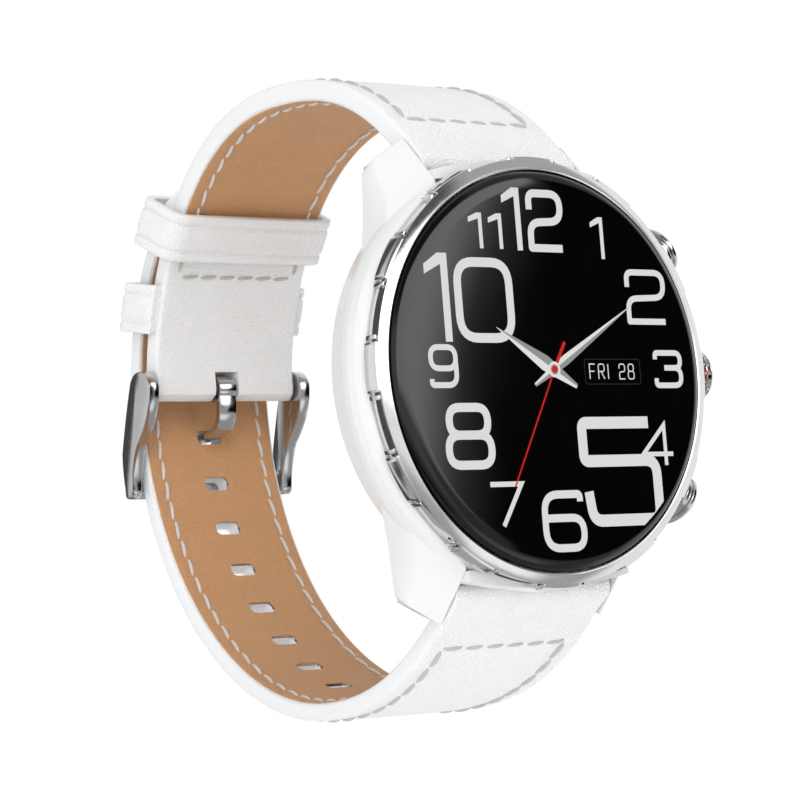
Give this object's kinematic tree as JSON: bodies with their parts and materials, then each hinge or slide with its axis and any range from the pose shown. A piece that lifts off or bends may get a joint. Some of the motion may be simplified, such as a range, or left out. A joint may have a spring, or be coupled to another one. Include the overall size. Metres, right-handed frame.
{
  "type": "smartwatch",
  "caption": "Round smartwatch with a crown, pushers and a curved glass, on a lined leather strap closed in a loop by a pin buckle.",
  "frame": {"origin": "centre of the wrist that the closed loop goes round, on the line from the middle of the glass straight into the wrist, 35 mm behind the face of the glass", "axes": "+X runs towards the crown, +Y from the glass through the wrist to the buckle side, +Z towards 12 o'clock"},
  "size_m": [0.0498, 0.0688, 0.0721],
  "materials": {
    "case_white": "smooth satin white",
    "polished_steel": "polished",
    "plain_steel": "fine turned",
    "black_glass": "black, polished, edge rounded",
    "seal_rubber": "matt",
    "red_ring": "anodised red",
    "circuit_board": "solder resist",
    "black_plastic": "fine matt",
    "brass_contacts": "plated",
    "foil_metal": "foil",
    "white_leather": "white, fine grain, painted edges",
    "tan_lining": "tan, fine grain, matt"
  },
  "bodies": {
    "head": {"case_body": "case_white", "bezel_ring": "polished_steel", "cover_glass": "black_glass", "glass_gasket": "seal_rubber", "display_module": "black_plastic", "inner_frame": "foil_metal", "main_board": "circuit_board", "battery": "foil_metal", "haptic_motor": "plain_steel", "speaker": "black_plastic", "sensor_board": "circuit_board", "back_gasket": "seal_rubber", "case_back": "plain_steel", "sensor_window": "black_glass", "crown_tube": "plain_steel", "crown_seal": "seal_rubber", "crown_switch": "black_plastic", "pusher_upper_tube": "plain_steel", "pusher_upper_seal": "seal_rubber", "pusher_upper_switch": "black_plastic", "pusher_lower_tube": "plain_steel", "pusher_lower_seal": "seal_rubber", "pusher_lower_switch": "black_plastic", "case_screw_1": "plain_steel", "case_screw_2": "plain_steel", "case_screw_3": "plain_steel", "case_screw_4": "plain_steel", "charge_contact_1": "brass_contacts", "charge_contact_2": "brass_contacts", "upper_strap_leather": "white_leather", "upper_strap_lining": "tan_lining", "tail_strap_leather": "white_leather", "tail_strap_lining": "tan_lining", "fixed_keeper": "white_leather", "spring_bar_upper": "plain_steel", "spring_bar_lower": "plain_steel"},
    "encoder": {"crown_encoder_wheel": "brass_contacts"},
    "crown": {"crown_knob": "polished_steel", "crown_ring": "red_ring", "crown_stem": "plain_steel", "crown_thrust_washer": "plain_steel"},
    "pusher_upper": {"pusher_upper_button": "polished_steel", "pusher_upper_clip": "plain_steel"},
    "pusher_lower": {"pusher_lower_button": "polished_steel", "pusher_lower_clip": "plain_steel"},
    "keeper": {"free_keeper": "white_leather"},
    "buckle": {"buckle_frame": "polished_steel", "buckle_bar": "polished_steel"},
    "tongue": {"buckle_tongue": "polished_steel"},
    "release_upper": {"release_lever_upper": "plain_steel"},
    "release_lower": {"release_lever_lower": "plain_steel"}
  },
  "joints": [
    {"name": "crown_turn", "type": "hinge", "parent": "head", "child": "encoder", "pos_m": [0, -0.0295, 0], "axis": [1, 0, 0], "continuous": true},
    {"name": "crown_press", "type": "slide", "parent": "encoder", "child": "crown", "axis": [-1, 0, 0], "range_m": [0, 0.00025], "stiffness_N_per_m": 2000},
    {"name": "pusher_upper_press", "type": "slide", "parent": "head", "child": "pusher_upper", "axis": [-0.8339, 0, -0.5519], "range_m": [0, 0.0005], "stiffness_N_per_m": 2000},
    {"name": "pusher_lower_press", "type": "slide", "parent": "head", "child": "pusher_lower", "axis": [-0.8339, 0, 0.5519], "range_m": [0, 0.0005], "stiffness_N_per_m": 2000},
    {"name": "keeper_slide", "type": "hinge", "parent": "head", "child": "keeper", "pos_m": [0, -0.00834, 0.00395], "axis": [1, 0, 0], "range_deg": [-3, 4]},
    {"name": "buckle_swing", "type": "hinge", "parent": "head", "child": "buckle", "pos_m": [0, 0.0264, 0.0054], "axis": [1, 0, 0], "range_deg": [0, 1.5]},
    {"name": "tongue_swing", "type": "hinge", "parent": "head", "child": "tongue", "pos_m": [0, 0.0264, 0.0054], "axis": [1, 0, 0], "range_deg": [0, 1.5]},
    {"name": "release_upper_pull", "type": "slide", "parent": "head", "child": "release_upper", "axis": [1, 0, 0], "range_m": [0, 0.0015], "stiffness_N_per_m": 500},
    {"name": "release_lower_pull", "type": "slide", "parent": "head", "child": "release_lower", "axis": [1, 0, 0], "range_m": [0, 0.0015], "stiffness_N_per_m": 500}
  ],
  "couplings": [
    {"joint": "tongue_swing", "follows": "buckle_swing", "ratio": 1}
  ]
}
